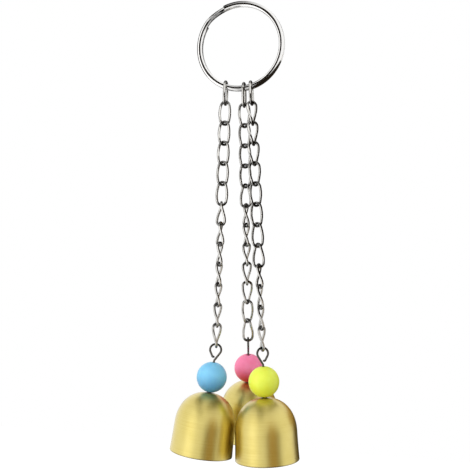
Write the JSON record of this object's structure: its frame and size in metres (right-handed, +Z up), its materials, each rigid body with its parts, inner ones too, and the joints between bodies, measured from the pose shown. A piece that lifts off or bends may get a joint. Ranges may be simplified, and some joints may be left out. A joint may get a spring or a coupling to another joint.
{
  "type": "bird bell toy",
  "caption": "Hanging bird toy: a split ring carries curb chains, each ending in a wire eye, a round bead and a dome bell with a free clapper.",
  "frame": {"origin": "inside top of the split ring, where the toy hangs", "axes": "+Z up along the plumb line; the split ring lies in the XZ plane with its axis along Y"},
  "size_m": [0.0429, 0.0462, 0.1514],
  "materials": {
    "ring_nickel": "bright nickel plate",
    "chain_nickel": "bright nickel plate",
    "wire_nickel": "drawn wire, nickel plate",
    "bead_blue": "moulded, semi-gloss",
    "bead_pink": "moulded, semi-gloss",
    "bead_yellow": "moulded, semi-gloss",
    "bell_brass": "spun, satin",
    "clapper_steel": "plain steel"
  },
  "bodies": {
    "ring": {"split_ring": "ring_nickel"},
    "blue_chain_link_01": {"blue_chain_link_01": "chain_nickel"},
    "blue_chain_link_02": {"blue_chain_link_02": "chain_nickel"},
    "blue_chain_link_03": {"blue_chain_link_03": "chain_nickel"},
    "blue_chain_link_04": {"blue_chain_link_04": "chain_nickel"},
    "blue_chain_link_05": {"blue_chain_link_05": "chain_nickel"},
    "blue_chain_link_06": {"blue_chain_link_06": "chain_nickel"},
    "blue_chain_link_07": {"blue_chain_link_07": "chain_nickel"},
    "blue_chain_link_08": {"blue_chain_link_08": "chain_nickel"},
    "blue_chain_link_09": {"blue_chain_link_09": "chain_nickel"},
    "blue_chain_link_10": {"blue_chain_link_10": "chain_nickel"},
    "blue_chain_link_11": {"blue_chain_link_11": "chain_nickel"},
    "blue_chain_link_12": {"blue_chain_link_12": "chain_nickel"},
    "blue_chain_link_13": {"blue_chain_link_13": "chain_nickel"},
    "blue_hanger": {"blue_hanger_wire": "wire_nickel"},
    "blue_bead": {"blue_bead": "bead_blue"},
    "blue_bell": {"blue_bell": "bell_brass"},
    "blue_clapper": {"blue_clapper_wire": "wire_nickel", "blue_clapper_ball": "clapper_steel"},
    "pink_chain_link_01": {"pink_chain_link_01": "chain_nickel"},
    "pink_chain_link_02": {"pink_chain_link_02": "chain_nickel"},
    "pink_chain_link_03": {"pink_chain_link_03": "chain_nickel"},
    "pink_chain_link_04": {"pink_chain_link_04": "chain_nickel"},
    "pink_chain_link_05": {"pink_chain_link_05": "chain_nickel"},
    "pink_chain_link_06": {"pink_chain_link_06": "chain_nickel"},
    "pink_chain_link_07": {"pink_chain_link_07": "chain_nickel"},
    "pink_chain_link_08": {"pink_chain_link_08": "chain_nickel"},
    "pink_chain_link_09": {"pink_chain_link_09": "chain_nickel"},
    "pink_chain_link_10": {"pink_chain_link_10": "chain_nickel"},
    "pink_chain_link_11": {"pink_chain_link_11": "chain_nickel"},
    "pink_chain_link_12": {"pink_chain_link_12": "chain_nickel"},
    "pink_chain_link_13": {"pink_chain_link_13": "chain_nickel"},
    "pink_hanger": {"pink_hanger_wire": "wire_nickel"},
    "pink_bead": {"pink_bead": "bead_pink"},
    "pink_bell": {"pink_bell": "bell_brass"},
    "pink_clapper": {"pink_clapper_wire": "wire_nickel", "pink_clapper_ball": "clapper_steel"},
    "yellow_chain_link_01": {"yellow_chain_link_01": "chain_nickel"},
    "yellow_chain_link_02": {"yellow_chain_link_02": "chain_nickel"},
    "yellow_chain_link_03": {"yellow_chain_link_03": "chain_nickel"},
    "yellow_chain_link_04": {"yellow_chain_link_04": "chain_nickel"},
    "yellow_chain_link_05": {"yellow_chain_link_05": "chain_nickel"},
    "yellow_chain_link_06": {"yellow_chain_link_06": "chain_nickel"},
    "yellow_chain_link_07": {"yellow_chain_link_07": "chain_nickel"},
    "yellow_chain_link_08": {"yellow_chain_link_08": "chain_nickel"},
    "yellow_chain_link_09": {"yellow_chain_link_09": "chain_nickel"},
    "yellow_chain_link_10": {"yellow_chain_link_10": "chain_nickel"},
    "yellow_chain_link_11": {"yellow_chain_link_11": "chain_nickel"},
    "yellow_chain_link_12": {"yellow_chain_link_12": "chain_nickel"},
    "yellow_chain_link_13": {"yellow_chain_link_13": "chain_nickel"},
    "yellow_hanger": {"yellow_hanger_wire": "wire_nickel"},
    "yellow_bead": {"yellow_bead": "bead_yellow"},
    "yellow_bell": {"yellow_bell": "bell_brass"},
    "yellow_clapper": {"yellow_clapper_wire": "wire_nickel", "yellow_clapper_ball": "clapper_steel"}
  },
  "joints": [
    {"name": "blue_link_01_swing", "type": "hinge", "parent": "ring", "child": "blue_chain_link_01", "pos_m": [-0.00505, 0, -0.02636], "axis": [-0.7163, 0.6978, 0], "range_deg": [0, 30]},
    {"name": "blue_link_02_swing", "type": "hinge", "parent": "blue_chain_link_01", "child": "blue_chain_link_02", "pos_m": [-0.00522, -0.00017, -0.03194], "axis": [-0.7163, 0.6978, 0], "range_deg": [0, 12]},
    {"name": "blue_link_03_swing", "type": "hinge", "parent": "blue_chain_link_02", "child": "blue_chain_link_03", "pos_m": [-0.00542, -0.00037, -0.03869], "axis": [-0.7163, 0.6978, 0], "range_deg": [0, 12]},
    {"name": "blue_link_04_swing", "type": "hinge", "parent": "blue_chain_link_03", "child": "blue_chain_link_04", "pos_m": [-0.00562, -0.00058, -0.04545], "axis": [-0.7163, 0.6978, 0], "range_deg": [0, 12]},
    {"name": "blue_link_05_swing", "type": "hinge", "parent": "blue_chain_link_04", "child": "blue_chain_link_05", "pos_m": [-0.00582, -0.00079, -0.0522], "axis": [-0.7163, 0.6978, 0], "range_deg": [0, 12]},
    {"name": "blue_link_06_swing", "type": "hinge", "parent": "blue_chain_link_05", "child": "blue_chain_link_06", "pos_m": [-0.00602, -0.00099, -0.05895], "axis": [-0.7163, 0.6978, 0], "range_deg": [0, 12]},
    {"name": "blue_link_07_swing", "type": "hinge", "parent": "blue_chain_link_06", "child": "blue_chain_link_07", "pos_m": [-0.00622, -0.0012, -0.06571], "axis": [-0.7163, 0.6978, 0], "range_deg": [0, 12]},
    {"name": "blue_link_08_swing", "type": "hinge", "parent": "blue_chain_link_07", "child": "blue_chain_link_08", "pos_m": [-0.00642, -0.0014, -0.07246], "axis": [-0.7163, 0.6978, 0], "range_deg": [0, 12]},
    {"name": "blue_link_09_swing", "type": "hinge", "parent": "blue_chain_link_08", "child": "blue_chain_link_09", "pos_m": [-0.00662, -0.00161, -0.07921], "axis": [-0.7163, 0.6978, 0], "range_deg": [0, 12]},
    {"name": "blue_link_10_swing", "type": "hinge", "parent": "blue_chain_link_09", "child": "blue_chain_link_10", "pos_m": [-0.00682, -0.00181, -0.08597], "axis": [-0.7163, 0.6978, 0], "range_deg": [0, 12]},
    {"name": "blue_link_11_swing", "type": "hinge", "parent": "blue_chain_link_10", "child": "blue_chain_link_11", "pos_m": [-0.00702, -0.00202, -0.09272], "axis": [-0.7163, 0.6978, 0], "range_deg": [0, 12]},
    {"name": "blue_link_12_swing", "type": "hinge", "parent": "blue_chain_link_11", "child": "blue_chain_link_12", "pos_m": [-0.00722, -0.00222, -0.09948], "axis": [-0.7163, 0.6978, 0], "range_deg": [0, 12]},
    {"name": "blue_link_13_swing", "type": "hinge", "parent": "blue_chain_link_12", "child": "blue_chain_link_13", "pos_m": [-0.00742, -0.00243, -0.10623], "axis": [-0.7163, 0.6978, 0], "range_deg": [0, 12]},
    {"name": "blue_hanger_swing", "type": "hinge", "parent": "blue_chain_link_13", "child": "blue_hanger", "pos_m": [-0.00762, -0.00263, -0.11298], "axis": [-0.7163, 0.6978, 0], "range_deg": [0, 20]},
    {"name": "blue_bead_spin", "type": "hinge", "parent": "blue_hanger", "child": "blue_bead", "pos_m": [-0.00882, -0.00387, -0.12337], "axis": [0.1143, 0.1174, 0.9865], "continuous": true},
    {"name": "blue_bell_spin", "type": "hinge", "parent": "blue_hanger", "child": "blue_bell", "pos_m": [-0.01054, -0.00563, -0.13817], "axis": [0.1143, 0.1174, 0.9865], "continuous": true},
    {"name": "blue_clapper_swing", "type": "hinge", "parent": "blue_hanger", "child": "blue_clapper", "pos_m": [-0.00995, -0.00503, -0.13314], "axis": [-0.9427, -0.3004, 0.145], "range_deg": [-35, 44]},
    {"name": "pink_link_01_swing", "type": "hinge", "parent": "ring", "child": "pink_chain_link_01", "pos_m": [0.00123, 0, -0.02725], "axis": [0.99, 0.1414, 0], "range_deg": [0, 30]},
    {"name": "pink_link_02_swing", "type": "hinge", "parent": "pink_chain_link_01", "child": "pink_chain_link_02", "pos_m": [0.00111, 0.00086, -0.03276], "axis": [0.99, 0.1414, 0], "range_deg": [0, 12]},
    {"name": "pink_link_03_swing", "type": "hinge", "parent": "pink_chain_link_02", "child": "pink_chain_link_03", "pos_m": [0.00096, 0.0019, -0.03944], "axis": [0.99, 0.1414, 0], "range_deg": [0, 12]},
    {"name": "pink_link_04_swing", "type": "hinge", "parent": "pink_chain_link_03", "child": "pink_chain_link_04", "pos_m": [0.00081, 0.00294, -0.04611], "axis": [0.99, 0.1414, 0], "range_deg": [0, 12]},
    {"name": "pink_link_05_swing", "type": "hinge", "parent": "pink_chain_link_04", "child": "pink_chain_link_05", "pos_m": [0.00066, 0.00398, -0.05279], "axis": [0.99, 0.1414, 0], "range_deg": [0, 12]},
    {"name": "pink_link_06_swing", "type": "hinge", "parent": "pink_chain_link_05", "child": "pink_chain_link_06", "pos_m": [0.00051, 0.00502, -0.05947], "axis": [0.99, 0.1414, 0], "range_deg": [0, 12]},
    {"name": "pink_link_07_swing", "type": "hinge", "parent": "pink_chain_link_06", "child": "pink_chain_link_07", "pos_m": [0.00036, 0.00606, -0.06615], "axis": [0.99, 0.1414, 0], "range_deg": [0, 12]},
    {"name": "pink_link_08_swing", "type": "hinge", "parent": "pink_chain_link_07", "child": "pink_chain_link_08", "pos_m": [0.00021, 0.0071, -0.07282], "axis": [0.99, 0.1414, 0], "range_deg": [0, 12]},
    {"name": "pink_link_09_swing", "type": "hinge", "parent": "pink_chain_link_08", "child": "pink_chain_link_09", "pos_m": [0.00007, 0.00815, -0.0795], "axis": [0.99, 0.1414, 0], "range_deg": [0, 12]},
    {"name": "pink_link_10_swing", "type": "hinge", "parent": "pink_chain_link_09", "child": "pink_chain_link_10", "pos_m": [-0.00008, 0.00919, -0.08618], "axis": [0.99, 0.1414, 0], "range_deg": [0, 12]},
    {"name": "pink_link_11_swing", "type": "hinge", "parent": "pink_chain_link_10", "child": "pink_chain_link_11", "pos_m": [-0.00023, 0.01023, -0.09286], "axis": [0.99, 0.1414, 0], "range_deg": [0, 12]},
    {"name": "pink_link_12_swing", "type": "hinge", "parent": "pink_chain_link_11", "child": "pink_chain_link_12", "pos_m": [-0.00038, 0.01127, -0.09953], "axis": [0.99, 0.1414, 0], "range_deg": [0, 12]},
    {"name": "pink_link_13_swing", "type": "hinge", "parent": "pink_chain_link_12", "child": "pink_chain_link_13", "pos_m": [-0.00053, 0.01231, -0.10621], "axis": [0.99, 0.1414, 0], "range_deg": [0, 12]},
    {"name": "pink_hanger_swing", "type": "hinge", "parent": "pink_chain_link_13", "child": "pink_hanger", "pos_m": [-0.00068, 0.01335, -0.11289], "axis": [0.99, 0.1414, 0], "range_deg": [0, 20]},
    {"name": "pink_bead_spin", "type": "hinge", "parent": "pink_hanger", "child": "pink_bead", "pos_m": [-0.00091, 0.01497, -0.12329], "axis": [0.022, -0.154, 0.9878], "continuous": true},
    {"name": "pink_bell_spin", "type": "hinge", "parent": "pink_hanger", "child": "pink_bell", "pos_m": [-0.00124, 0.01728, -0.13811], "axis": [0.022, -0.154, 0.9878], "continuous": true},
    {"name": "pink_clapper_swing", "type": "hinge", "parent": "pink_hanger", "child": "pink_clapper", "pos_m": [-0.00113, 0.0165, -0.13307], "axis": [0.2571, -0.954, -0.1544], "range_deg": [-38, 41]},
    {"name": "yellow_link_01_swing", "type": "hinge", "parent": "ring", "child": "yellow_chain_link_01", "pos_m": [0.00365, 0, -0.02682], "axis": [-0.659, -0.7521, 0], "range_deg": [0, 30]},
    {"name": "yellow_link_02_swing", "type": "hinge", "parent": "yellow_chain_link_01", "child": "yellow_chain_link_02", "pos_m": [0.00396, -0.00027, -0.03238], "axis": [-0.659, -0.7521, 0], "range_deg": [0, 12]},
    {"name": "yellow_link_03_swing", "type": "hinge", "parent": "yellow_chain_link_02", "child": "yellow_chain_link_03", "pos_m": [0.00434, -0.00061, -0.03912], "axis": [-0.659, -0.7521, 0], "range_deg": [0, 12]},
    {"name": "yellow_link_04_swing", "type": "hinge", "parent": "yellow_chain_link_03", "child": "yellow_chain_link_04", "pos_m": [0.00472, -0.00094, -0.04587], "axis": [-0.659, -0.7521, 0], "range_deg": [0, 12]},
    {"name": "yellow_link_05_swing", "type": "hinge", "parent": "yellow_chain_link_04", "child": "yellow_chain_link_05", "pos_m": [0.0051, -0.00127, -0.05261], "axis": [-0.659, -0.7521, 0], "range_deg": [0, 12]},
    {"name": "yellow_link_06_swing", "type": "hinge", "parent": "yellow_chain_link_05", "child": "yellow_chain_link_06", "pos_m": [0.00548, -0.00161, -0.05935], "axis": [-0.659, -0.7521, 0], "range_deg": [0, 12]},
    {"name": "yellow_link_07_swing", "type": "hinge", "parent": "yellow_chain_link_06", "child": "yellow_chain_link_07", "pos_m": [0.00586, -0.00194, -0.06609], "axis": [-0.659, -0.7521, 0], "range_deg": [0, 12]},
    {"name": "yellow_link_08_swing", "type": "hinge", "parent": "yellow_chain_link_07", "child": "yellow_chain_link_08", "pos_m": [0.00624, -0.00227, -0.07283], "axis": [-0.659, -0.7521, 0], "range_deg": [0, 12]},
    {"name": "yellow_link_09_swing", "type": "hinge", "parent": "yellow_chain_link_08", "child": "yellow_chain_link_09", "pos_m": [0.00662, -0.00261, -0.07957], "axis": [-0.659, -0.7521, 0], "range_deg": [0, 12]},
    {"name": "yellow_link_10_swing", "type": "hinge", "parent": "yellow_chain_link_09", "child": "yellow_chain_link_10", "pos_m": [0.007, -0.00294, -0.08631], "axis": [-0.659, -0.7521, 0], "range_deg": [0, 12]},
    {"name": "yellow_link_11_swing", "type": "hinge", "parent": "yellow_chain_link_10", "child": "yellow_chain_link_11", "pos_m": [0.00738, -0.00327, -0.09305], "axis": [-0.659, -0.7521, 0], "range_deg": [0, 12]},
    {"name": "yellow_link_12_swing", "type": "hinge", "parent": "yellow_chain_link_11", "child": "yellow_chain_link_12", "pos_m": [0.00776, -0.00361, -0.09979], "axis": [-0.659, -0.7521, 0], "range_deg": [0, 12]},
    {"name": "yellow_link_13_swing", "type": "hinge", "parent": "yellow_chain_link_12", "child": "yellow_chain_link_13", "pos_m": [0.00814, -0.00394, -0.10653], "axis": [-0.659, -0.7521, 0], "range_deg": [0, 12]},
    {"name": "yellow_hanger_swing", "type": "hinge", "parent": "yellow_chain_link_13", "child": "yellow_hanger", "pos_m": [0.00852, -0.00427, -0.11328], "axis": [-0.659, -0.7521, 0], "range_deg": [0, 20]},
    {"name": "yellow_bead_spin", "type": "hinge", "parent": "yellow_hanger", "child": "yellow_bead", "pos_m": [0.00912, -0.00479, -0.12378], "axis": [-0.0562, 0.0493, 0.9972], "continuous": true},
    {"name": "yellow_bell_spin", "type": "hinge", "parent": "yellow_hanger", "child": "yellow_bell", "pos_m": [0.00996, -0.00553, -0.13873], "axis": [-0.0562, 0.0493, 0.9972], "continuous": true},
    {"name": "yellow_clapper_swing", "type": "hinge", "parent": "yellow_hanger", "child": "yellow_clapper", "pos_m": [0.00967, -0.00528, -0.13365], "axis": [0.8474, 0.5305, 0.0216], "range_deg": [-44, 36]}
  ]
}
